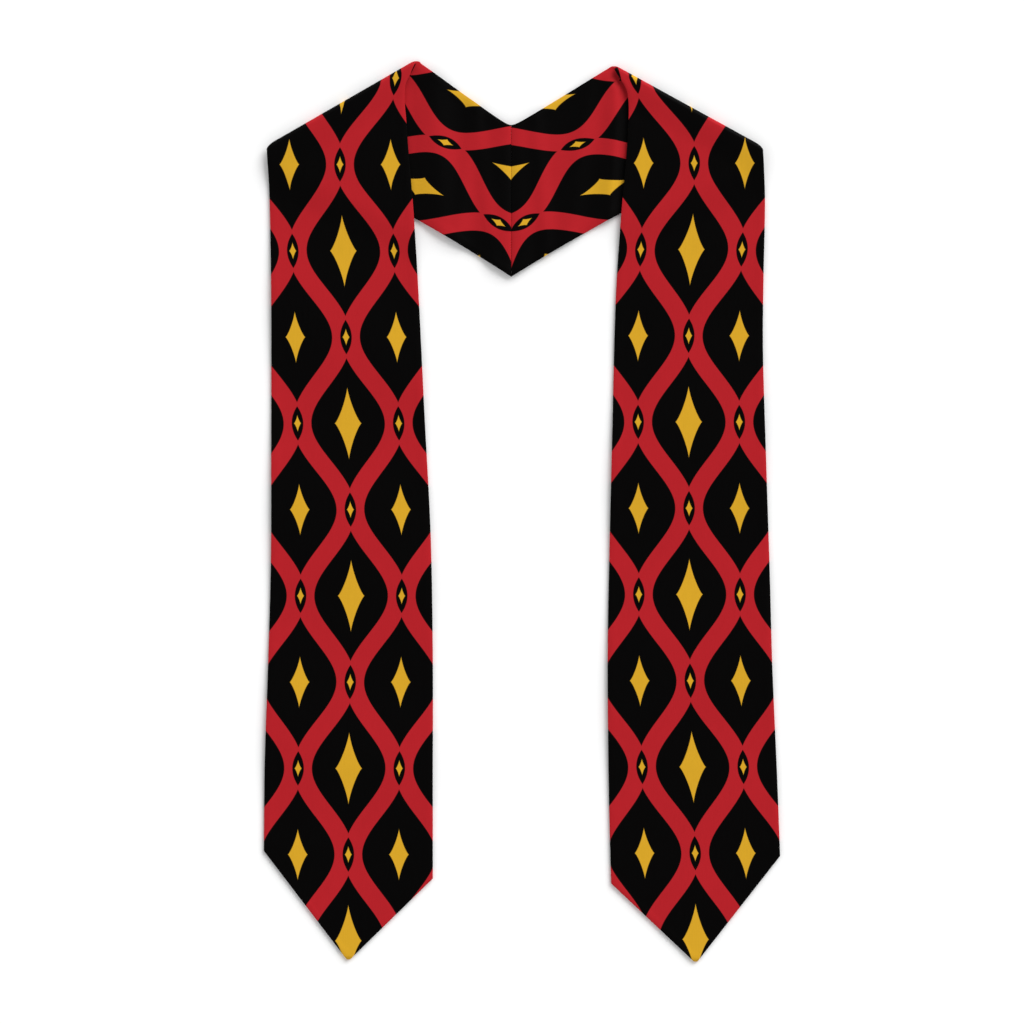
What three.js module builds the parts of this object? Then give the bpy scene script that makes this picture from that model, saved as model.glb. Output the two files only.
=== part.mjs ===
// A graduation stole laid out flat, face up, on a table.
//
// Each half is one long cloth strip. It starts at the centre-back seam, runs up and
// outwards as half of the V-shaped neck yoke, rolls over the shoulder fold, and lies
// back over itself as a straight front panel that ends in a skewed point. A strip is two
// layers sewn together round their edges: the outer cloth, which faces up on the front
// panel, and the lining, which faces up on the yoke.
//
// Millimetres, +Z up, +Y towards the neck. The floor is z = 0.
import * as THREE from "three";

// Cloth
const OUTER_CLOTH = 1.0; // printed satin with its fused backing
const LINING_CLOTH = 1.0;
const LAYER_GAP = 0.3; // between the outer cloth and the lining
const SEAM_GAP = 0.3; // between the two halves at the centre-back seam
const LAID_GAP = 0.3; // between the front panel and the yoke that it lies on

// Yoke
const NECK_HALF = 86; // the neck corners, out from the seam
const NECK_RISE = 54.5; // and up from the V's dip
const SEAM_LENGTH = 132; // the centre-back seam, from the V's dip to its tip
const DIP_ROUND = 3; // how far the V's dip is rounded
const YOKE_BOW = 6; // how far the yoke's lower edge bows out
const RIDGE_HEIGHT = 2.2; // the thick seam lifts the cloth beside it
const RIDGE_REACH = 26;

// Shoulder fold
const SHOULDER_DROP = 72.6; // the shoulder corners, down from the neck corners
const FOLD_INSIDE = 1.25; // inner radius of the lining round the fold
const SHOULDER_ROUND = 5; // the fold's corners are cut back by these
const NECK_ROUND = 3;
const ROLL_LENGTH = 26; // the roll sinks to the flat over this length
const PULL_LENGTH = 40; // past the fold, the cloth comes out to its own edges over this length

// Front panel
const PANEL_LENGTH = 712; // down a front panel's inner edge, from the neck to the foot
const PANEL_WIDTH = 147; // across the foot of a front panel
const STEP_REST = 9; // the panel stays level for this length past the yoke's lower edge
const STEP_LENGTH = 30; // and then comes down to the table over this length
const POINT_SKEW = 24; // the foot's outer corner is this much higher than its inner one
const POINT_DROP = 69; // the point is this far below the foot's inner corner
const POINT_PLACE = 0.5; // where the point is across the panel, as a share of its width
const TIP_WIDTH = 3; // the point's blunt tip
const WAVE_HEIGHT = 1.6; // soft waves along the panel, where it has lifted off the table
const WAVE_LENGTH = 190;
const WAVE_SLANT = 0.3; // how far a wave runs ahead across the panel, in waves
const WAVE_FADE = 90; // the waves grow and die away over this length

// Look
const CLOTH_COLOR = 0xb4212a; // the print's red
const CLOTH_ROUGHNESS = 0.6;

// The two halves lie a little differently. neckHalf, neckRise, shoulderDrop and pointDrop
// are shares of the sizes of those names. wavePhase is where the waves start, in waves.
const HALVES = [
  {
    side: "left",
    mirror: -1,
    neckHalf: 0.965,
    neckRise: 1.04,
    shoulderDrop: 1.025,
    pointDrop: 1.02,
    wavePhase: 0.15,
  },
  {
    side: "right",
    mirror: 1,
    neckHalf: 1.04,
    neckRise: 0.96,
    shoulderDrop: 0.978,
    pointDrop: 0.985,
    wavePhase: 0.6,
  },
];

// The front panel, section by section. down: share of PANEL_LENGTH. width: share of
// PANEL_WIDTH. left and right: the inner edge's distance from the seam, as a share of
// that half's own distance from the seam to its neck corner.
const FRONT_SECTIONS = [
  { down: 0, width: 0.88, left: 1, right: 1 },
  { down: 0.03, width: 0.812, left: 1.11, right: 1.123 },
  { down: 0.08, width: 0.811, left: 1.096, right: 1.135 },
  { down: 0.19, width: 0.845, left: 1.021, right: 1.064 },
  { down: 0.29, width: 0.872, left: 0.97, right: 1.015 },
  { down: 0.44, width: 0.909, left: 0.906, right: 0.984 },
  { down: 0.585, width: 0.946, left: 0.843, right: 0.956 },
  { down: 0.73, width: 0.974, left: 0.822, right: 0.937 },
  { down: 0.88, width: 0.995, left: 0.822, right: 0.948 },
  { down: 1, width: 1, left: 0.822, right: 0.971 },
];

// Where the cloth is divided, as shares of each stretch
const COLUMNS = [0, 0.07, 0.22, 0.4, 0.6, 0.78, 0.93, 1];
const YOKE_ROWS = [0, 0.05, 0.1, 0.16, 0.24, 0.36, 0.5, 0.65, 0.8, 0.92];
const FOLD_STEPS = 8;
const PANEL_ROWS = [
  0.012, 0.024, 0.04, 0.055, 0.07, 0.09, 0.11, 0.13, 0.15, 0.17, 0.19, 0.21, 0.23, 0.25,
  0.28, 0.32, 0.36, 0.4, 0.44, 0.48, 0.52, 0.56, 0.6, 0.64, 0.68, 0.72, 0.76, 0.8, 0.84,
  0.88, 0.92, 0.96, 1,
];
const POINT_ROWS = [0.35, 0.7, 1];

// What follows from the sizes
const STRIP_THICKNESS = OUTER_CLOTH + LAYER_GAP + LINING_CLOTH;
const STRIP_MIDDLE = LINING_CLOTH + LAYER_GAP / 2; // height of the middle over the lining's face
const UNDERSIDE_MIDDLE = STRIP_THICKNESS - STRIP_MIDDLE; // the same over the outer cloth's face
const FOLD_RADIUS = FOLD_INSIDE + STRIP_MIDDLE; // of the strip's middle round the fold
const FOLD_OUTSIDE = FOLD_INSIDE + STRIP_THICKNESS;
const LAYERS = [
  { name: "outer_cloth", from: LAYER_GAP / 2, to: LAYER_GAP / 2 + OUTER_CLOTH },
  { name: "lining", from: -LAYER_GAP / 2 - LINING_CLOTH, to: -LAYER_GAP / 2 },
];

const clamp = (value) => Math.min(1, Math.max(0, value));
const ease = (value) => clamp(value) ** 2 * (3 - 2 * clamp(value));
const between = (from, to, share) => from.clone().lerp(to, share);

// A column of the sections at any share down, on a smooth curve through them
function smoothColumn(sections, column, down) {
  const last = sections.length - 1;
  const found = sections.findIndex((section) => section.down > down);
  const i = found < 0 ? last - 1 : found - 1;
  const slope = (j) => {
    const before = sections[Math.max(0, j - 1)];
    const after = sections[Math.min(last, j + 1)];
    return (after[column] - before[column]) / (after.down - before.down);
  };
  const step = sections[i + 1].down - sections[i].down;
  const t = (down - sections[i].down) / step;
  return (
    sections[i][column] * (1 + 2 * t) * (1 - t) ** 2 +
    sections[i + 1][column] * t * t * (3 - 2 * t) +
    slope(i) * step * t * (1 - t) ** 2 -
    slope(i + 1) * step * t * t * (1 - t)
  );
}

// The fold of a half, seen from above, in the half's own frame: x runs out from the seam.
// along runs down the fold to the shoulder, and inward runs from it into the cloth. A
// panel hangs straight down from the fold, so round it each edge slides along by a share.
function foldOf(half) {
  const neck = new THREE.Vector2(NECK_HALF * half.neckHalf, NECK_RISE * half.neckRise);
  const width = PANEL_WIDTH * FRONT_SECTIONS[0].width;
  const drop = SHOULDER_DROP * half.shoulderDrop;
  const shoulder = new THREE.Vector2(neck.x + width, neck.y - drop);
  const along = shoulder.clone().sub(neck).normalize();
  const inward = new THREE.Vector2(along.y, -along.x);
  const slide = (along.y / inward.y) * (Math.PI / 2) * FOLD_RADIUS;
  return { neck, shoulder, along, inward, slide };
}

// How far a row that ends at the fold is drawn in from its outline. side is -1 on the yoke.
function drawnIn(fold, side) {
  return fold.inward
    .clone()
    .multiplyScalar(FOLD_OUTSIDE)
    .addScaledVector(fold.along, side * fold.slide);
}

// The yoke's lower edge at a distance out from the seam: a shallow arc
function yokeFoot(fold, x) {
  const share = clamp(x / fold.shoulder.x);
  const chord = -SEAM_LENGTH + (fold.shoulder.y + SEAM_LENGTH) * share;
  return chord + 4 * YOKE_BOW * share * (1 - share);
}

// The yoke's neck edge, straight but for the rounded dip at the seam
function yokeNeck(fold, x) {
  const rounded = (at) => Math.hypot(at, DIP_ROUND) - DIP_ROUND;
  return (fold.neck.y * rounded(x)) / rounded(fold.neck.x);
}

// One row of the yoke, where the outer cloth is underneath
function yokeRow(fold, share) {
  const end = drawnIn(fold, -1);
  const start = SEAM_GAP / 2;
  const neckX = start + (fold.neck.x + end.x - start) * share;
  const footX = start + (fold.shoulder.x + end.x - start) * share;
  const neck = new THREE.Vector2(neckX, yokeNeck(fold, neckX));
  const foot = new THREE.Vector2(footX, yokeFoot(fold, footX));
  return (across, offset) => {
    const place = between(neck, foot, across);
    const ridge = (1 - clamp(place.x / RIDGE_REACH) ** 2) ** 2;
    const height = UNDERSIDE_MIDDLE + RIDGE_HEIGHT * ridge;
    return new THREE.Vector3(place.x, place.y, height - offset);
  };
}

// One row round the fold, from a quarter turn on the yoke's side to one on the panel's
function foldRow(fold, turn) {
  const centre = UNDERSIDE_MIDDLE + FOLD_RADIUS;
  return (across, offset) => {
    const radius = FOLD_RADIUS + offset;
    const corner = NECK_ROUND * (1 - across) ** 3 - SHOULDER_ROUND * across ** 3;
    const place = between(fold.neck, fold.shoulder, across);
    place.addScaledVector(fold.inward, FOLD_OUTSIDE - radius * Math.cos(turn));
    place.addScaledVector(fold.along, fold.slide * Math.sin(turn) + corner * Math.cos(turn) ** 2);
    return new THREE.Vector3(place.x, place.y, centre + radius * Math.sin(turn));
  };
}

// The two ends of a front panel's row
function panelEnds(half, fold, down) {
  const innerX = fold.neck.x * smoothColumn(FRONT_SECTIONS, half.side, down);
  const outerX = innerX + PANEL_WIDTH * smoothColumn(FRONT_SECTIONS, "width", down);
  const footY = fold.neck.y - PANEL_LENGTH;
  const inner = new THREE.Vector2(innerX, fold.neck.y + (footY - fold.neck.y) * down);
  const outerLength = fold.shoulder.y - footY - POINT_SKEW;
  const outer = new THREE.Vector2(outerX, fold.shoulder.y - outerLength * down);
  return { inner, outer };
}

// How high the strip's middle lies on the front panel. The yoke's lower edge slants as the
// fold does, so along.x turns a height over that edge into a distance from it.
function panelHeight(half, fold, place, across) {
  const lift = STRIP_THICKNESS + LAID_GAP;
  const roll = UNDERSIDE_MIDDLE + 2 * FOLD_RADIUS - STRIP_MIDDLE - lift;
  const pastYoke = (yokeFoot(fold, place.x) - place.y) * fold.along.x - STEP_REST;
  const pastFold = place.clone().sub(fold.neck).dot(fold.inward) - FOLD_OUTSIDE;
  const toFoot = place.y - fold.neck.y + PANEL_LENGTH - POINT_SKEW;
  const waves = (fold.neck.y - place.y) / WAVE_LENGTH + WAVE_SLANT * across + half.wavePhase;
  const waving = ease((pastYoke - STEP_LENGTH) / WAVE_FADE) * ease(toFoot / WAVE_FADE);
  return (
    STRIP_MIDDLE +
    lift * (1 - ease(pastYoke / STEP_LENGTH)) +
    roll * (1 - ease(pastFold / ROLL_LENGTH)) +
    (WAVE_HEIGHT / 2) * (1 - Math.cos(2 * Math.PI * waves)) * waving
  );
}

// One row of the front panel
function panelRow(half, fold, down) {
  const { inner, outer } = panelEnds(half, fold, down);
  const pull = 1 - ease((PANEL_LENGTH * down) / PULL_LENGTH);
  const shift = drawnIn(fold, 1).multiplyScalar(pull);
  return (across, offset) => {
    const place = between(inner, outer, across).add(shift);
    const height = panelHeight(half, fold, place, across);
    return new THREE.Vector3(place.x, place.y, height + offset);
  };
}

// One row of the point, which closes in on its tip
function pointRow(half, fold, share) {
  const { inner, outer } = panelEnds(half, fold, 1);
  const tip = between(inner, outer, POINT_PLACE).setY(inner.y - POINT_DROP * half.pointDrop);
  return (across, offset) => {
    const end = tip.clone().setX(tip.x + TIP_WIDTH * (across - POINT_PLACE));
    const place = between(between(inner, outer, across), end, share);
    return new THREE.Vector3(place.x, place.y, STRIP_MIDDLE + offset);
  };
}

// All the rows of a strip, from the centre-back seam to the tip
function stripRows(half) {
  const fold = foldOf(half);
  const turn = (step) => Math.PI * (step / FOLD_STEPS - 0.5);
  const steps = [...Array(FOLD_STEPS + 1).keys()];
  return [
    ...YOKE_ROWS.map((share) => yokeRow(fold, share)),
    ...steps.map((step) => foldRow(fold, turn(step))),
    ...PANEL_ROWS.map((down) => panelRow(half, fold, down)),
    ...POINT_ROWS.map((share) => pointRow(half, fold, share)),
  ];
}

// A box's cells are two triangles each, six corners, and its underside's are split along
// the other diagonal than its upper side's. This turns them, so that both sides crease alike.
function matchDiagonals(box) {
  const index = box.getIndex();
  const underside = box.groups.at(-1);
  for (let i = underside.start; i < underside.start + underside.count; i += 6) {
    index.setX(i + 2, index.getX(i + 4));
    index.setX(i + 3, index.getX(i));
  }
}

// A closed wall between two offsets from the strip's middle: a thin box of one cell to
// each column and row, with its corners moved to where the rows put them
function layerGeometry(rows, layer) {
  const columns = COLUMNS.length - 1;
  const steps = rows.length - 1;
  const geometry = new THREE.BoxGeometry(columns, steps, 1, columns, steps, 1);
  matchDiagonals(geometry);
  const corners = geometry.getAttribute("position");
  const corner = new THREE.Vector3();
  for (let i = 0; i < corners.count; i++) {
    corner.fromBufferAttribute(corners, i);
    const across = COLUMNS[Math.round(columns / 2 + corner.x)];
    const row = rows[Math.round(steps / 2 - corner.y)];
    const place = row(across, corner.z > 0 ? layer.to : layer.from);
    corners.setXYZ(i, place.x, place.y, place.z);
  }
  geometry.computeVertexNormals();
  return geometry;
}

// One half of the stole: its outer cloth and its lining
function halfStole(half) {
  const group = new THREE.Group();
  const rows = stripRows(half);
  for (const layer of LAYERS) {
    const material = new THREE.MeshStandardMaterial({
      color: CLOTH_COLOR,
      roughness: CLOTH_ROUGHNESS,
      metalness: 0,
    });
    const mesh = new THREE.Mesh(layerGeometry(rows, layer), material);
    mesh.name = `${half.side}_${layer.name}`;
    group.add(mesh);
  }
  group.scale.x = half.mirror;
  return group;
}

const stole = new THREE.Group();
for (const half of HALVES) stole.add(halfStole(half));

// The origin is the middle of the stole's outline, on the table
const middle = new THREE.Box3().setFromObject(stole).getCenter(new THREE.Vector3());
stole.position.set(-middle.x, -middle.y, 0);

export default stole;
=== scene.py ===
"""A graduation stole laid out flat, face up, on a pale table.

Each half is one long printed strip of two cloths, the outer cloth and the lining. It runs
from the centre-back seam up through the neck yoke, rolls over the shoulder fold and lies
back over itself as a straight front panel with a point.

Sizes in the tables are millimetres, and the objects are made in metres.
"""
import math

import bmesh
import bpy
from bpy.props import FloatProperty, FloatVectorProperty, PointerProperty
from bpy.types import Operator, Panel, PropertyGroup
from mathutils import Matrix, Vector


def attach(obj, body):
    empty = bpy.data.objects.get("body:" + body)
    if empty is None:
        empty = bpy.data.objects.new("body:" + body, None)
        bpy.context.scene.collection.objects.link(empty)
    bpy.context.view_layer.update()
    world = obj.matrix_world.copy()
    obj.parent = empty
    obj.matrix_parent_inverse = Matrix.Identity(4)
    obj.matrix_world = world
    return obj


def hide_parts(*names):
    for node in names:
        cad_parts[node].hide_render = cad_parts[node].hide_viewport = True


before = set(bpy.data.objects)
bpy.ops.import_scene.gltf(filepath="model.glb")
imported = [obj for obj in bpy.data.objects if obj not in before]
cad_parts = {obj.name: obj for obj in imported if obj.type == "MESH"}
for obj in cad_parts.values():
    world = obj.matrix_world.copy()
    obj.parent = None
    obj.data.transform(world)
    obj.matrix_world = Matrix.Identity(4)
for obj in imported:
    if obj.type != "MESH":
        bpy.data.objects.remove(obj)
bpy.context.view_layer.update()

bl_info = {
    "name": "Graduation stole",
    "version": (1, 0, 0),
    "blender": (4, 5, 0),
    "location": "3D View > Sidebar > Stole",
    "description": "Makes a printed graduation stole laid out flat, and its stage",
    "category": "Add Mesh",
}

MM = 0.001

# Yoke
NECK_HALF = 86.0
NECK_RISE = 54.5
SEAM_LENGTH = 132.0
SEAM_GAP = 0.05
DIP_ROUND = 4.5
YOKE_BOW = 6.0
RIDGE_HEIGHT = 2.2
RIDGE_REACH = 26.0
CREASE_CLEAR = 1.0
CREASE_TO_PANEL = 11.0
CREASE_TO_FOLD = 15.0
PUCKER_TO_PANEL = 6.0

# Shoulder fold
SHOULDER_DROP = 72.6
STRIP_THICKNESS = 2.3
STRIP_MIDDLE = 1.15
FOLD_RADIUS = 2.4
FOLD_OUTSIDE = 3.55
SHOULDER_ROUND = 5.0
NECK_ROUND = 3.0
ROLL_LENGTH = 26.0
PULL_LENGTH = 40.0

# Front panel
PANEL_LENGTH = 712.0
PANEL_WIDTH = 147.0
LAID_GAP = 0.3
STEP_REST = 9.0
STEP_LENGTH = 30.0
POINT_SKEW = 24.0
POINT_DROP = 69.0
POINT_PLACE = 0.5
TIP_WIDTH = 3.0
WAVE_HEIGHT = 1.6
WAVE_LENGTH = 190.0
WAVE_SLANT = 0.3
WAVE_FADE = 90.0

# Seams: each valley is its reach and its share of the seam's dip, and each pucker wave is
# its length, its share and where it starts
VALLEYS = ((1.6, 1 / 3), (4.5, 2 / 3))
SEWN_REACH = 1.4
ALLOWANCE_SLOPE = 1.6
PUCKER_WAVES = ((1.7, 1.0, 0.0), (2.3, 0.7, 1.3), (5.1, 0.5, 0.0))
PUCKER_SLANT = 0.4
PUCKER_REACH = 7.0
PUCKER_START = 1 / 12

# How the two halves differ, as shares of the sizes above. Each crease is how far out it is,
# its lean, its reach and its height.
LEFT = {
    "side": "left",
    "mirror": -1,
    "neck_half": 0.965,
    "neck_rise": 1.04,
    "shoulder_drop": 1.025,
    "point_drop": 1.02,
    "wave_phase": 0.15,
    "creases": ((22, 0.10, 7, 1.3), (42, -0.12, 7, 1.1), (62, 0.06, 14, 3.0)),
}
RIGHT = {
    "side": "right",
    "mirror": 1,
    "neck_half": 1.04,
    "neck_rise": 0.96,
    "shoulder_drop": 0.978,
    "point_drop": 0.985,
    "wave_phase": 0.6,
    "creases": ((27, -0.08, 7, 1.5), (54, 0.14, 9, 1.5), (88, 0.04, 10, 3.2)),
}

# Share of the panel's length, share of its width, and the inner edge's place on each half
FRONT_SECTIONS = (
    {"down": 0.0, "width": 0.88, "left": 1.0, "right": 1.0},
    {"down": 0.03, "width": 0.812, "left": 1.11, "right": 1.123},
    {"down": 0.08, "width": 0.811, "left": 1.096, "right": 1.135},
    {"down": 0.19, "width": 0.845, "left": 1.021, "right": 1.064},
    {"down": 0.29, "width": 0.872, "left": 0.97, "right": 1.015},
    {"down": 0.44, "width": 0.909, "left": 0.906, "right": 0.984},
    {"down": 0.585, "width": 0.946, "left": 0.843, "right": 0.956},
    {"down": 0.73, "width": 0.974, "left": 0.822, "right": 0.937},
    {"down": 0.88, "width": 0.995, "left": 0.822, "right": 0.948},
    {"down": 1.0, "width": 1.0, "left": 0.822, "right": 0.971},
)

# Where the print's repeats fall at the middle of the centre-back seam, on both halves, and
# the share of the panel below which the print follows the panel's middle
PRINT_AT_SEAM = (0.0, 22.0)
PRINT_BENDS_FROM = 0.15

# The print's forms, half their length and half their width, and how sharp their edges are
LARGE_LOZENGE = (31.0, 11.5)
MIDDLE_LOZENGE = (22.0, 8.5)
SMALL_LOZENGE = (7.0, 3.0)
LENS = (15.0, 5.0)
LOZENGE_BOW = 0.8
PRINT_SHARPNESS = 2.2

# The satin's threads
MM_PER_METRE = 1000.0
THREAD_PITCH = 0.45
THREAD_DEPTH = 0.06
THREAD_STRENGTH = 0.5
WARP_SHARE = 0.3
WEFT_SHARE = 0.2
SLUB_SHARE = 0.6
SLUB_SHADE = 0.1
DYE_SHADE = 0.12
PLAIN_SHADE = 0.89
SLUB_ROUGHNESS = 0.2
SHEEN_ROUGHNESS = 0.4

# Where the stole's seam and V dip lie, from the middle of its outline
SEAM_X = -9.34
DIP_Y = 336.2

# How the cloth is divided
INNER_COLUMNS = 56
EDGE_SHARES = (0.0, 0.0005, 0.0016, 0.0034, 0.007)
EDGE_THICKNESS = (0.3, 0.62, 0.84, 0.96, 1.0)
END_THICKNESS = 0.3
SEAM_SHARES = (0.0, 0.003, 0.007, 0.012, 0.018, 0.026)
YOKE_STEPS = 84
FOLD_STEPS = 18
PANEL_STEPS = 240
PANEL_CROWDING = 1.15
POINT_STEPS = 26

# The stage, in metres and degrees. The walls reach up to one height of the direction that
# they are seen in, and fade into the darker part overhead up to the other.
FLOOR_HALF = 6.0
FLOOR_BELOW = 0.0003
WALLS_UP_TO = 0.62
OVERHEAD_FROM = 0.95
LAMP_SIDE = (1.5, 2.2, 1.4)
LAMP_ANGLE = 45
CAMERA_OVER = (-0.0087, -0.0004)
CAMERA_LENS = 200
CAMERA_SENSOR = 36


def clamp(value):
    return min(1.0, max(0.0, value))


def ease(value):
    share = clamp(value)
    return share * share * (3 - 2 * share)


def smooth_column(column, down):
    """A column of the front sections at any share down, on a smooth curve through them."""
    last = len(FRONT_SECTIONS) - 1
    i = last - 1
    for j, section in enumerate(FRONT_SECTIONS):
        if section["down"] > down:
            i = max(0, j - 1)
            break

    def slope(j):
        before = FRONT_SECTIONS[max(0, j - 1)]
        after = FRONT_SECTIONS[min(last, j + 1)]
        return (after[column] - before[column]) / (after["down"] - before["down"])

    start = FRONT_SECTIONS[i]
    end = FRONT_SECTIONS[i + 1]
    step = end["down"] - start["down"]
    t = (down - start["down"]) / step
    value = start[column] * (1 + 2 * t) * (1 - t) ** 2
    value += end[column] * t * t * (3 - 2 * t)
    value += slope(i) * step * t * (1 - t) ** 2
    value -= slope(i + 1) * step * t * t * (1 - t)
    return value


class Strip:
    """One half of the stole, in its own frame: x runs out from the centre-back seam."""

    def __init__(self, half, cloth):
        self.half = half
        self.cloth = cloth
        self.neck = Vector((NECK_HALF * half["neck_half"], NECK_RISE * half["neck_rise"]))
        width = PANEL_WIDTH * FRONT_SECTIONS[0]["width"]
        drop = SHOULDER_DROP * half["shoulder_drop"]
        self.shoulder = Vector((self.neck.x + width, self.neck.y - drop))
        self.along = (self.shoulder - self.neck).normalized()
        self.inward = Vector((self.along.y, -self.along.x))
        self.slide = (self.along.y / self.inward.y) * (math.pi / 2) * FOLD_RADIUS
        self.foot_y = self.neck.y - PANEL_LENGTH
        self.outer_length = self.shoulder.y - self.foot_y - POINT_SKEW
        seam = Vector((0.0, -SEAM_LENGTH / 2))
        self.seam_flat = self.unfolded_yoke(seam)
        self.shift = (0.0, 0.0)
        at_seam = self.print_place(self.seam_flat)
        self.shift = (PRINT_AT_SEAM[0] - at_seam[0], PRINT_AT_SEAM[1] - at_seam[1])

    def drawn_in(self, side):
        """How far the fold's rounding draws in the cloth on one side of it."""
        return self.inward * FOLD_OUTSIDE + self.along * (side * self.slide)

    def from_fold(self, place):
        return (place - self.neck).dot(self.inward) - FOLD_OUTSIDE

    def yoke_foot(self, x):
        share = clamp(x / self.shoulder.x)
        chord = -SEAM_LENGTH + (self.shoulder.y + SEAM_LENGTH) * share
        return chord + 4 * YOKE_BOW * share * (1 - share)

    def yoke_neck(self, x):
        def rounded(at):
            return math.hypot(at, DIP_ROUND) - DIP_ROUND

        return self.neck.y * rounded(x) / rounded(self.neck.x)

    def inner_edge(self, y):
        down = clamp((self.neck.y - y) / PANEL_LENGTH)
        return self.neck.x * smooth_column(self.half["side"], down)

    def outer_edge(self, y):
        down = clamp((self.shoulder.y - y) / self.outer_length)
        inner = self.neck.x * smooth_column(self.half["side"], down)
        return inner + PANEL_WIDTH * smooth_column("width", down)

    def cut_place(self, flat):
        """Where a point of the unfolded strip lies on the cut cloth: along it and across it."""
        level = self.neck.y - PRINT_BENDS_FROM * PANEL_LENGTH
        y = min(flat.y, level)
        middle = (self.inner_edge(y) + self.outer_edge(y)) / 2
        return (self.neck.y - flat.y, flat.x - middle)

    def print_place(self, flat):
        """The same on the print, which is centred on the panel and matches at the seam."""
        along, across = self.cut_place(flat)
        back = ease((flat.y - self.shoulder.y) / (self.seam_flat.y - self.shoulder.y))
        return (along + self.shift[0], across + self.shift[1] * back)

    def unfolded(self, past_fold, place):
        """A point past the fold, or before it where past_fold is negative, laid out flat."""
        down_fold = (place - self.neck).dot(self.along)
        return self.neck + self.inward * (FOLD_OUTSIDE + past_fold) + self.along * down_fold

    def unfolded_yoke(self, place):
        return self.unfolded(-math.pi * FOLD_RADIUS - self.from_fold(place), place)

    def creases(self, place):
        """Soft upright folds of the yoke, which die away before the fold and the panel."""
        rise = 0.0
        for out, lean, reach, height in self.half["creases"]:
            middle = out + lean * (place.y + SEAM_LENGTH / 2)
            rise += height * math.exp(-(((place.x - middle) / reach) ** 2))
        to_panel = self.inner_edge(place.y) - place.x
        rise *= ease((to_panel - CREASE_CLEAR) / CREASE_TO_PANEL)
        return rise * ease(self.from_fold(place) / CREASE_TO_FOLD)

    def puckers(self, place, edge):
        """The seam round the edges draws the cloth up a little."""
        at = place.y + PUCKER_SLANT * place.x
        swell = sum(share * math.sin(at / length + start) for length, share, start in PUCKER_WAVES)
        most = sum(wave[1] for wave in PUCKER_WAVES)
        height = self.cloth.pucker_height / MM * (1 + swell / most) / 2
        return height * math.exp(-edge / PUCKER_REACH)

    def yoke_row(self, share):
        """One row across the yoke, at its share of the way from the seam to the fold."""
        end = self.drawn_in(-1)
        start = SEAM_GAP / 2
        neck_x = start + (self.neck.x + end.x - start) * share
        foot_x = start + (self.shoulder.x + end.x - start) * share
        neck = Vector((neck_x, self.yoke_neck(neck_x)))
        foot = Vector((foot_x, self.yoke_foot(foot_x)))
        width = (foot - neck).length

        def point(across, offset):
            place = neck.lerp(foot, across)
            ridge = (1 - clamp(place.x / RIDGE_REACH) ** 2) ** 2
            valley = sum(part * math.exp(-((place.x / reach) ** 2)) for reach, part in VALLEYS)
            dip = self.cloth.seam_dip / MM * valley
            edge = min(across, 1 - across) * width
            open_share = ease((self.inner_edge(place.y) - place.x) / PUCKER_TO_PANEL)
            height = STRIP_MIDDLE + RIDGE_HEIGHT * ridge - dip + self.creases(place)
            height += self.puckers(place, edge) * open_share
            return Vector((place.x, place.y, height - offset)), self.unfolded_yoke(place)

        return point, width, -1.0

    def fold_row(self, turn):
        """One row along the shoulder fold, at its angle round the roll."""
        centre = STRIP_MIDDLE + FOLD_RADIUS

        def point(across, offset):
            radius = FOLD_RADIUS + offset
            corner = NECK_ROUND * (1 - across) ** 3 - SHOULDER_ROUND * across ** 3
            place = self.neck.lerp(self.shoulder, across)
            place = place + self.inward * (FOLD_OUTSIDE - radius * math.cos(turn))
            sideways = self.slide * math.sin(turn) + corner * math.cos(turn) ** 2
            place = place + self.along * sideways
            flat = self.unfolded(FOLD_RADIUS * (turn - math.pi / 2), place)
            height = centre + radius * math.sin(turn)
            return Vector((place.x, place.y, height)), flat

        return point, (self.shoulder - self.neck).length, math.sin(turn)

    def panel_ends(self, down):
        """The inner and outer end of a row of the front panel, at its share down."""
        inner_x = self.neck.x * smooth_column(self.half["side"], down)
        outer_x = inner_x + PANEL_WIDTH * smooth_column("width", down)
        inner = Vector((inner_x, self.neck.y - PANEL_LENGTH * down))
        outer = Vector((outer_x, self.shoulder.y - self.outer_length * down))
        return inner, outer

    def panel_height(self, place, across):
        """Over the roll at the fold, then over the yoke, then in waves on the table."""
        lift = STRIP_THICKNESS + LAID_GAP
        roll = 2 * FOLD_RADIUS - lift
        past_yoke = (self.yoke_foot(place.x) - place.y) * self.along.x - STEP_REST
        to_foot = place.y - self.neck.y + PANEL_LENGTH - POINT_SKEW
        waves = (self.neck.y - place.y) / WAVE_LENGTH + WAVE_SLANT * across
        waves += self.half["wave_phase"]
        waving = ease((past_yoke - STEP_LENGTH) / WAVE_FADE) * ease(to_foot / WAVE_FADE)
        height = STRIP_MIDDLE + lift * (1 - ease(past_yoke / STEP_LENGTH))
        height += roll * (1 - ease(self.from_fold(place) / ROLL_LENGTH))
        return height + (WAVE_HEIGHT / 2) * (1 - math.cos(2 * math.pi * waves)) * waving

    def panel_row(self, down):
        inner, outer = self.panel_ends(down)
        shift = self.drawn_in(1) * (1 - ease(PANEL_LENGTH * down / PULL_LENGTH))
        width = (outer - inner).length

        def point(across, offset):
            place = inner.lerp(outer, across) + shift
            edge = min(across, 1 - across) * width
            height = self.panel_height(place, across)
            height += self.puckers(place, edge) * ease(down / PUCKER_START)
            flat = self.unfolded(self.from_fold(place), place)
            return Vector((place.x, place.y, height + offset)), flat

        return point, width, 1.0

    def point_row(self, share):
        inner, outer = self.panel_ends(1)
        tip = inner.lerp(outer, POINT_PLACE)
        tip.y = inner.y - POINT_DROP * self.half["point_drop"]
        width = (outer - inner).length * (1 - share) + TIP_WIDTH * share

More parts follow.
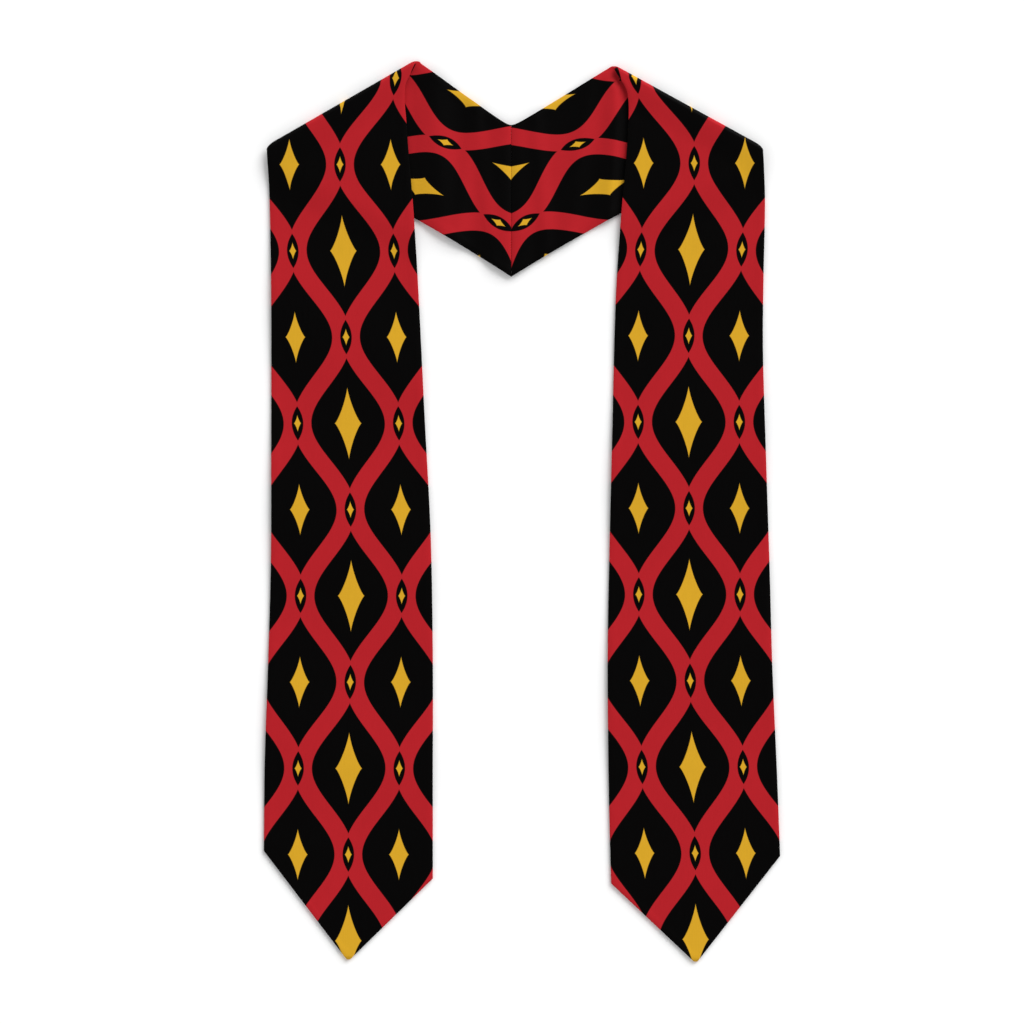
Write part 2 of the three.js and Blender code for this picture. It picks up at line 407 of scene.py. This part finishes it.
        def point(across, offset):
            end = Vector((tip.x + TIP_WIDTH * (across - POINT_PLACE), tip.y))
            place = inner.lerp(outer, across).lerp(end, share)
            edge = min(across, 1 - across) * width
            height = STRIP_MIDDLE + self.puckers(place, edge)
            return Vector((place.x, place.y, height + offset)), place

        return point, width, 1.0

    def rows(self):
        """All the rows from the centre-back seam to the tip, with their thickness shares."""
        yoke = list(SEAM_SHARES)
        rest = YOKE_STEPS - len(yoke)
        yoke += [SEAM_SHARES[-1] + (1 - SEAM_SHARES[-1]) * i / rest for i in range(1, rest)]
        rows = [self.yoke_row(share) for share in yoke]
        rows += [self.fold_row(math.pi * (i / FOLD_STEPS - 0.5)) for i in range(FOLD_STEPS + 1)]
        downs = [(i / PANEL_STEPS) ** PANEL_CROWDING for i in range(1, PANEL_STEPS + 1)]
        rows += [self.panel_row(down) for down in downs]
        rows += [self.point_row(i / POINT_STEPS) for i in range(1, POINT_STEPS + 1)]
        shares = [END_THICKNESS] + [1.0] * (len(rows) - 2) + [END_THICKNESS]
        return rows, shares


def columns():
    """Where the columns lie across a strip, close together at its edges."""
    last = EDGE_SHARES[-1]
    inner = [last + (1 - 2 * last) * i / INNER_COLUMNS for i in range(1, INNER_COLUMNS)]
    places = list(EDGE_SHARES) + inner + [1 - share for share in reversed(EDGE_SHARES)]
    middle = [1.0] * len(inner)
    shares = list(EDGE_THICKNESS) + middle + list(reversed(EDGE_THICKNESS))
    return places, shares


def bend_to_strip(bm, strip, layer):
    """Moves a square grid's points to the strip's rows, and gives each one's flat places."""
    cloth = strip.cloth
    rows, row_shares = strip.rows()
    places, column_shares = columns()
    across_cells = len(places) - 1
    down_cells = len(rows) - 1
    bmesh.ops.create_grid(bm, x_segments=across_cells, y_segments=down_cells, size=0.5)
    thickness_layer = bm.verts.layers.deform.verify()
    face_up = 1 if layer == "outer" else -1
    apart = STRIP_MIDDLE - cloth.thickness / MM / 2
    sewn = cloth.thickness / MM / 2 + cloth.edge_gap / MM / 2
    cuts = {}
    prints = {}
    for vert in bm.verts:
        column = round((vert.co.x + 0.5) * across_cells)
        row = round((0.5 - vert.co.y) * down_cells)
        point, width, facing = rows[row]
        across = places[column]
        edge = min(across, 1 - across) * width
        closing = math.exp(-((edge / SEWN_REACH) ** 2))
        offset = apart + (sewn - apart) * closing
        inside = 1 - ease((edge - cloth.allowance_width / MM) / ALLOWANCE_SLOPE)
        showing = max(0.0, facing * face_up)
        offset += cloth.allowance_rise / MM * inside * showing * (1 - closing)
        place, flat = point(across, face_up * offset)
        x = SEAM_X + strip.half["mirror"] * place.x
        vert.co = Vector((x, DIP_Y + place.y, place.z)) * MM
        vert[thickness_layer][0] = min(row_shares[row], column_shares[column])
        cuts[vert] = [value * MM for value in strip.cut_place(flat)]
        prints[vert] = [value * MM for value in strip.print_place(flat)]
    if strip.half["mirror"] < 0:
        bmesh.ops.reverse_faces(bm, faces=bm.faces)
    return cuts, prints


def lay_print(bm, prints):
    uv_layer = bm.loops.layers.uv.new("Print")
    for face in bm.faces:
        face.smooth = True
        for loop in face.loops:
            loop[uv_layer].uv = prints[loop.vert]


def flat_size(bm, cuts):
    """The cut cloth's width, length and area."""
    area = 0.0
    for face in bm.faces:
        corners = [cuts[vert] for vert in face.verts]
        turned = zip(corners, corners[1:] + corners[:1])
        area += abs(sum(a[0] * b[1] - a[1] * b[0] for a, b in turned)) / 2
    alongs = [cut[0] for cut in cuts.values()]
    acrosses = [cut[1] for cut in cuts.values()]
    return (max(acrosses) - min(acrosses), max(alongs) - min(alongs)), area


def add_thickness(piece, thickness):
    """Makes the sheet a closed cloth, thinner where its group says so."""
    piece.vertex_groups.new(name="Thickness")
    wall = piece.modifiers.new("Cloth thickness", "SOLIDIFY")
    wall.thickness = thickness
    wall.offset = 0
    wall.vertex_group = "Thickness"
    wall.thickness_vertex_group = 0
    wall.use_rim = True


def cloth_piece(name, half, layer, cloth, material):
    """One closed cloth of one half, with its flat size and area."""
    bm = bmesh.new()
    cuts, prints = bend_to_strip(bm, Strip(half, cloth), layer)
    lay_print(bm, prints)
    flat, flat_area = flat_size(bm, cuts)
    mesh = bpy.data.meshes.new(name)
    bm.to_mesh(mesh)
    bm.free()
    mesh.materials.append(material)
    piece = bpy.data.objects.new(name, mesh)
    bpy.context.scene.collection.objects.link(piece)
    add_thickness(piece, cloth.thickness)
    return piece, flat, flat_area


def new_input(tree, name, kind, value=None):
    socket = tree.interface.new_socket(name=name, in_out="INPUT", socket_type=kind)
    if value is not None:
        socket.default_value = value


def new_output(tree, name, kind):
    tree.interface.new_socket(name=name, in_out="OUTPUT", socket_type=kind)


def sum_of(tree, operation, *values, clamped=False):
    """A Math node. Each value is a number or another node's output."""
    node = tree.nodes.new("ShaderNodeMath")
    node.operation = operation
    node.use_clamp = clamped
    for socket, value in zip(node.inputs, values):
        if isinstance(value, (int, float)):
            socket.default_value = value
        else:
            tree.links.new(value, socket)
    return node.outputs[0]


def trellis_print_group():
    """Masks of an ogee trellis: its bands, and the lozenges in and between its cells."""
    found = bpy.data.node_groups.get("Trellis print")
    if found:
        return found
    tree = bpy.data.node_groups.new("Trellis print", "ShaderNodeTree")
    new_input(tree, "Place", "NodeSocketVector")
    new_input(tree, "Repeat Length", "NodeSocketFloat", 150.0)
    new_input(tree, "Repeat Width", "NodeSocketFloat", 88.0)
    new_input(tree, "Swing", "NodeSocketFloat", 18.0)
    new_input(tree, "Band Width", "NodeSocketFloat", 16.0)
    new_output(tree, "Bands", "NodeSocketFloat")
    new_output(tree, "Lozenges", "NodeSocketFloat")
    start = tree.nodes.new("NodeGroupInput").outputs
    end = tree.nodes.new("NodeGroupOutput").inputs

    def calc(operation, *values, clamped=False):
        return sum_of(tree, operation, *values, clamped=clamped)

    split = tree.nodes.new("ShaderNodeSeparateXYZ")
    tree.links.new(start["Place"], split.inputs[0])
    along = calc("MULTIPLY", split.outputs["X"], MM_PER_METRE)
    across = calc("MULTIPLY", split.outputs["Y"], MM_PER_METRE)
    length = start["Repeat Length"]
    width = start["Repeat Width"]
    half_length = calc("MULTIPLY", length, 0.5)
    half_width = calc("MULTIPLY", width, 0.5)
    less_length = calc("MULTIPLY", length, -0.5)
    less_width = calc("MULTIPLY", width, -0.5)
    u_cell = calc("WRAP", along, half_length, less_length)
    u_side = calc("WRAP", calc("ADD", along, half_length), half_length, less_length)
    v_cell = calc("WRAP", across, half_width, less_width)
    v_side = calc("WRAP", calc("ADD", across, half_width), half_width, less_width)

    turn = calc("DIVIDE", calc("MULTIPLY", along, 2 * math.pi), length)
    swung = calc("MULTIPLY", start["Swing"], calc("COSINE", turn))
    middle = calc("ADD", calc("MULTIPLY", width, 0.25), swung)
    steep = calc("DIVIDE", calc("MULTIPLY", start["Swing"], 2 * math.pi), length)
    slope = calc("MULTIPLY", steep, calc("SINE", turn))
    stretch = calc("SQRT", calc("ADD", calc("MULTIPLY", slope, slope), 1.0))
    away = calc("ABSOLUTE", calc("SUBTRACT", calc("ABSOLUTE", v_cell), middle))
    away = calc("DIVIDE", away, stretch)
    bands = calc("SUBTRACT", calc("MULTIPLY", start["Band Width"], 0.5), away)

    def sharp_edge(inside, scale=1.0):
        """From none to all over a thin line where a form's inside begins."""
        steep = calc("MULTIPLY", inside, PRINT_SHARPNESS * scale)
        return calc("ADD", steep, 0.5, clamped=True)

    def lens(u, v):
        """Inside a pointed oval."""
        share = calc("DIVIDE", u, LENS[0])
        arch = calc("SUBTRACT", 1.0, calc("MULTIPLY", share, share))
        inside = calc("SUBTRACT", calc("MULTIPLY", arch, LENS[1]), calc("ABSOLUTE", v))
        return sharp_edge(inside)

    def lozenge(u, v, size):
        """Inside a lozenge whose sides bow in."""
        first = calc("POWER", calc("DIVIDE", calc("ABSOLUTE", u), size[0]), LOZENGE_BOW)
        second = calc("POWER", calc("DIVIDE", calc("ABSOLUTE", v), size[1]), LOZENGE_BOW)
        inside = calc("SUBTRACT", 1.0, calc("ADD", first, second))
        return sharp_edge(inside, size[1])

    bands = sharp_edge(bands)
    lozenges = lozenge(u_cell, v_cell, LARGE_LOZENGE)
    lozenges = calc("MAXIMUM", lozenges, lozenge(u_side, v_side, MIDDLE_LOZENGE))
    for u, v in ((u_side, v_cell), (u_cell, v_side)):
        bands = calc("MINIMUM", bands, calc("SUBTRACT", 1.0, lens(u, v)))
        lozenges = calc("MAXIMUM", lozenges, lozenge(u, v, SMALL_LOZENGE))
    tree.links.new(bands, end["Bands"])
    tree.links.new(lozenges, end["Lozenges"])
    return tree


def satin_weave_group():
    """Fine threads that run along the strip, with slubs and a little uneven dye."""
    found = bpy.data.node_groups.get("Satin weave")
    if found:
        return found
    tree = bpy.data.node_groups.new("Satin weave", "ShaderNodeTree")
    new_input(tree, "Place", "NodeSocketVector")
    new_input(tree, "Colour", "NodeSocketColor")
    new_input(tree, "Thread Pitch", "NodeSocketFloat", THREAD_PITCH)
    new_input(tree, "Roughness", "NodeSocketFloat", 0.5)
    new_output(tree, "Colour", "NodeSocketColor")
    new_output(tree, "Roughness", "NodeSocketFloat")
    new_output(tree, "Height", "NodeSocketFloat")
    start = tree.nodes.new("NodeGroupInput").outputs
    end = tree.nodes.new("NodeGroupOutput").inputs

    def calc(operation, *values, clamped=False):
        return sum_of(tree, operation, *values, clamped=clamped)

    def noise(stretch, scale, detail):
        place = tree.nodes.new("ShaderNodeMapping")
        place.inputs["Scale"].default_value = stretch
        tree.links.new(start["Place"], place.inputs["Vector"])
        node = tree.nodes.new("ShaderNodeTexNoise")
        node.inputs["Scale"].default_value = scale
        node.inputs["Detail"].default_value = detail
        tree.links.new(place.outputs[0], node.inputs["Vector"])
        return node.outputs["Fac"]

    split = tree.nodes.new("ShaderNodeSeparateXYZ")
    tree.links.new(start["Place"], split.inputs[0])
    turn = calc("DIVIDE", 2 * math.pi * MM_PER_METRE, start["Thread Pitch"])
    warp = calc("SINE", calc("MULTIPLY", split.outputs["Y"], turn))
    weft_turn = calc("MULTIPLY", calc("MULTIPLY", split.outputs["X"], turn), 0.5)
    weft = calc("SINE", calc("ADD", weft_turn, calc("MULTIPLY", warp, 0.8)))
    slubs = noise((6.0, 90.0, 1.0), 12.0, 3.0)
    cloudy = noise((1.0, 1.0, 1.0), 22.0, 2.0)
    height = calc("ADD", calc("MULTIPLY", warp, WARP_SHARE), calc("MULTIPLY", weft, WEFT_SHARE))
    height = calc("ADD", height, calc("MULTIPLY", slubs, SLUB_SHARE))
    uneven = calc("ADD", calc("MULTIPLY", slubs, SLUB_SHADE), calc("MULTIPLY", cloudy, DYE_SHADE))
    brightness = calc("ADD", uneven, PLAIN_SHADE)
    shade = tree.nodes.new("ShaderNodeVectorMath")
    shade.operation = "SCALE"
    tree.links.new(start["Colour"], shade.inputs[0])
    tree.links.new(brightness, shade.inputs["Scale"])
    tree.links.new(shade.outputs[0], end["Colour"])
    slubby = calc("MULTIPLY", calc("SUBTRACT", slubs, 0.5), SLUB_ROUGHNESS)
    tree.links.new(calc("ADD", start["Roughness"], slubby), end["Roughness"])
    tree.links.new(height, end["Height"])
    return tree


def mixed_colour(tree, share, below, above):
    """A Mix node's colour. Each colour is a property's value or another node's output."""
    node = tree.nodes.new("ShaderNodeMix")
    node.data_type = "RGBA"
    tree.links.new(share, node.inputs["Factor"])
    sockets = [socket for socket in node.inputs if socket.type == "RGBA"]
    for socket, colour in zip(sockets, (below, above)):
        if isinstance(colour, bpy.types.NodeSocket):
            tree.links.new(colour, socket)
        else:
            socket.default_value = (*colour, 1)
    return next(socket for socket in node.outputs if socket.type == "RGBA")


def satin(name, look, roughness):
    """Printed satin: the trellis in two colours on a dark ground, on fine threads."""
    material = bpy.data.materials.new(name)
    material.use_nodes = True
    tree = material.node_tree
    nodes = tree.nodes
    links = tree.links
    shader = nodes["Principled BSDF"]
    place = nodes.new("ShaderNodeUVMap")
    place.uv_map = "Print"
    pattern = nodes.new("ShaderNodeGroup")
    pattern.node_tree = trellis_print_group()
    pattern.inputs["Repeat Length"].default_value = look.repeat_length / MM
    pattern.inputs["Repeat Width"].default_value = look.repeat_width / MM
    pattern.inputs["Swing"].default_value = look.swing / MM
    pattern.inputs["Band Width"].default_value = look.band_width / MM
    links.new(place.outputs[0], pattern.inputs["Place"])
    bands = pattern.outputs["Bands"]
    banded = mixed_colour(tree, bands, look.ground_colour, look.band_colour)
    lozenges = pattern.outputs["Lozenges"]
    printed = mixed_colour(tree, lozenges, banded, look.lozenge_colour)
    weave = nodes.new("ShaderNodeGroup")
    weave.node_tree = satin_weave_group()
    weave.inputs["Roughness"].default_value = roughness
    links.new(place.outputs[0], weave.inputs["Place"])
    links.new(printed, weave.inputs["Colour"])
    links.new(weave.outputs["Colour"], shader.inputs["Base Color"])
    links.new(weave.outputs["Roughness"], shader.inputs["Roughness"])
    threads = nodes.new("ShaderNodeBump")
    threads.inputs["Strength"].default_value = THREAD_STRENGTH
    threads.inputs["Distance"].default_value = THREAD_DEPTH * MM
    links.new(weave.outputs["Height"], threads.inputs["Height"])
    links.new(threads.outputs[0], shader.inputs["Normal"])
    shader.inputs["Metallic"].default_value = 0
    shader.inputs["Specular IOR Level"].default_value = look.gloss
    shader.inputs["Sheen Weight"].default_value = look.sheen
    shader.inputs["Sheen Roughness"].default_value = SHEEN_ROUGHNESS
    return material


class StoleCloth(PropertyGroup):
    thickness: FloatProperty(
        name="Cloth", description="Thickness of each cloth", default=0.001, unit="LENGTH"
    )
    edge_gap: FloatProperty(
        name="Edge gap",
        description="Between the two cloths where they are sewn together",
        default=0.00006,
        unit="LENGTH",
    )
    allowance_width: FloatProperty(
        name="Seam allowance",
        description="How far the pressed seam allowance reaches in from the edges",
        default=0.0065,
        unit="LENGTH",
    )
    allowance_rise: FloatProperty(
        name="Allowance rise",
        description="How much the seam allowance lifts the cloth over it",
        default=0.00018,
        unit="LENGTH",
    )
    pucker_height: FloatProperty(
        name="Puckers",
        description="How far the edge seam draws the cloth up",
        default=0.00018,
        unit="LENGTH",
    )
    seam_dip: FloatProperty(
        name="Seam dip",
        description="Depth of the valley at the centre-back seam",
        default=0.0012,
        unit="LENGTH",
    )


class StolePrint(PropertyGroup):
    ground_colour: FloatVectorProperty(
        name="Ground",
        description="Colour of the print's ground",
        default=(0.0012, 0.001, 0.001),
        subtype="COLOR",
    )
    band_colour: FloatVectorProperty(
        name="Bands",
        description="Colour of the trellis",
        default=(0.43, 0.0145, 0.0205),
        subtype="COLOR",
    )
    lozenge_colour: FloatVectorProperty(
        name="Lozenges",
        description="Colour of the lozenges",
        default=(0.64, 0.35, 0.021),
        subtype="COLOR",
    )
    repeat_length: FloatProperty(
        name="Repeat length",
        description="Length of one cell of the trellis along the strip",
        default=0.15,
        unit="LENGTH",
    )
    repeat_width: FloatProperty(
        name="Repeat width",
        description="Distance between cells across the strip",
        default=0.088,
        unit="LENGTH",
    )
    swing: FloatProperty(
        name="Swing",
        description="How far the bands swing in and out",
        default=0.018,
        unit="LENGTH",
    )
    band_width: FloatProperty(
        name="Band width", description="Width of the bands", default=0.016, unit="LENGTH"
    )
    gloss: FloatProperty(
        name="Gloss", description="Specular level of the satin", default=0.03, min=0, max=1
    )
    sheen: FloatProperty(
        name="Sheen", description="Sheen of the satin at low angles", default=0.015, min=0, max=1
    )


class StoleStage(PropertyGroup):
    floor_colour: FloatVectorProperty(
        name="Floor", description="Colour of the table", default=(0.99, 0.99, 0.99), subtype="COLOR"
    )
    overhead: FloatProperty(
        name="Overhead", description="Brightness straight above", default=0.2, min=0
    )
    around: FloatProperty(
        name="Around", description="Brightness of the walls around", default=0.92, min=0
    )
    lamp_strength: FloatProperty(
        name="Lamp", description="Strength of the large soft lamp", default=2.8, min=0
    )
    camera_height: FloatProperty(
        name="Camera height", description="Camera over the table", default=4.95, unit="LENGTH"
    )


def finish_cloth(piece, flat, area, node, slot):
    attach(piece, "root")
    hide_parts(node)


class StoleOuterCloths(Operator):
    """Make the printed outer cloth of both halves"""

    bl_idname = "stole.outer_cloths"
    bl_label = "Outer cloths"

    def execute(self, context):
        scene = context.scene
        material = satin("Printed satin outer cloth", scene.stole_print, roughness=0.5)
        for half in (LEFT, RIGHT):
            name = half["side"] + "_outer_satin"
            made = cloth_piece(name, half, "outer", scene.stole_cloth, material)
            finish_cloth(*made, half["side"] + "_outer_cloth", "outer_cloth")
        return {"FINISHED"}


class StoleLinings(Operator):
    """Make the printed lining of both halves"""

    bl_idname = "stole.linings"
    bl_label = "Linings"

    def execute(self, context):
        scene = context.scene
        material = satin("Printed satin lining", scene.stole_print, roughness=0.54)
        for half in (LEFT, RIGHT):
            name = half["side"] + "_lining_satin"
            made = cloth_piece(name, half, "lining", scene.stole_cloth, material)
            finish_cloth(*made, half["side"] + "_lining", "lining")
        return {"FINISHED"}


class StoleStageMaker(Operator):
    """Make the table, the light and the camera"""

    bl_idname = "stole.stage"
    bl_label = "Stage"

    def execute(self, context):
        scene = context.scene
        look = scene.stole_stage
        scene.view_settings.view_transform = "Standard"
        make_floor(scene, look)
        make_surroundings(scene, look)
        make_lamp(scene, look)
        make_camera(scene, look)
        return {"FINISHED"}


def make_floor(scene, look):
    """A pale table, a hair below the cloth so that the two don't touch."""
    bm = bmesh.new()
    bmesh.ops.create_grid(bm, x_segments=1, y_segments=1, size=FLOOR_HALF)
    bmesh.ops.translate(bm, verts=bm.verts, vec=(0, 0, -FLOOR_BELOW))
    mesh = bpy.data.meshes.new("floor")
    bm.to_mesh(mesh)
    bm.free()
    floor = bpy.data.objects.new("floor", mesh)
    scene.collection.objects.link(floor)
    material = bpy.data.materials.new("Pale table")
    material.use_nodes = True
    shader = material.node_tree.nodes["Principled BSDF"]
    shader.inputs["Base Color"].default_value = (*look.floor_colour, 1)
    shader.inputs["Roughness"].default_value = 0.9
    shader.inputs["Specular IOR Level"].default_value = 0.1
    mesh.materials.append(material)


def make_surroundings(scene, look):
    """Pale walls all round, and less light straight above, where the camera is."""
    world = bpy.data.worlds.new("Studio")
    world.use_nodes = True
    tree = world.node_tree
    direction = tree.nodes.new("ShaderNodeTexCoord")
    split = tree.nodes.new("ShaderNodeSeparateXYZ")
    tree.links.new(direction.outputs["Generated"], split.inputs[0])
    strength = tree.nodes.new("ShaderNodeMapRange")
    strength.interpolation_type = "SMOOTHSTEP"
    strength.inputs["From Min"].default_value = WALLS_UP_TO
    strength.inputs["From Max"].default_value = OVERHEAD_FROM
    strength.inputs["To Min"].default_value = look.around
    strength.inputs["To Max"].default_value = look.overhead
    tree.links.new(split.outputs["Z"], strength.inputs["Value"])
    tree.links.new(strength.outputs[0], tree.nodes["Background"].inputs["Strength"])
    tree.nodes["Background"].inputs["Color"].default_value = (1, 1, 1, 1)
    scene.world = world


def make_lamp(scene, look):
    """One large soft lamp far away, low behind the neck and to the right."""
    data = bpy.data.lights.new("Large soft lamp", "SUN")
    data.angle = math.radians(LAMP_ANGLE)
    data.energy = look.lamp_strength
    lamp = bpy.data.objects.new("Large soft lamp", data)
    lamp.location = LAMP_SIDE
    lamp.rotation_euler = (-lamp.location).to_track_quat("-Z", "Y").to_euler()
    scene.collection.objects.link(lamp)


def make_camera(scene, look):
    """Straight above the middle of the stole, looking down."""
    data = bpy.data.cameras.new("Camera")
    data.lens = CAMERA_LENS
    data.sensor_width = CAMERA_SENSOR
    data.clip_end = 50
    camera = bpy.data.objects.new("Camera", data)
    camera.location = (*CAMERA_OVER, look.camera_height)
    scene.collection.objects.link(camera)
    scene.camera = camera


class StolePanel(Panel):
    bl_idname = "VIEW3D_PT_stole"
    bl_label = "Graduation stole"
    bl_space_type = "VIEW_3D"
    bl_region_type = "UI"
    bl_category = "Stole"

    def draw(self, context):
        scene = context.scene
        for group in (scene.stole_cloth, scene.stole_print, scene.stole_stage):
            for name in group.__annotations__:
                self.layout.prop(group, name)
        for maker in (StoleOuterCloths, StoleLinings, StoleStageMaker):
            self.layout.operator(maker.bl_idname)


CLASSES = (
    StoleCloth,
    StolePrint,
    StoleStage,
    StoleOuterCloths,
    StoleLinings,
    StoleStageMaker,
    StolePanel,
)


def register():
    for item in CLASSES:
        bpy.utils.register_class(item)
    bpy.types.Scene.stole_cloth = PointerProperty(type=StoleCloth)
    bpy.types.Scene.stole_print = PointerProperty(type=StolePrint)
    bpy.types.Scene.stole_stage = PointerProperty(type=StoleStage)


def unregister():
    del bpy.types.Scene.stole_stage
    del bpy.types.Scene.stole_print
    del bpy.types.Scene.stole_cloth
    for item in reversed(CLASSES):
        bpy.utils.unregister_class(item)


def main():
    register()
    bpy.ops.stole.outer_cloths()
    bpy.ops.stole.linings()
    bpy.ops.stole.stage()
    bpy.context.view_layer.update()


if __name__ == "__main__":
    main()
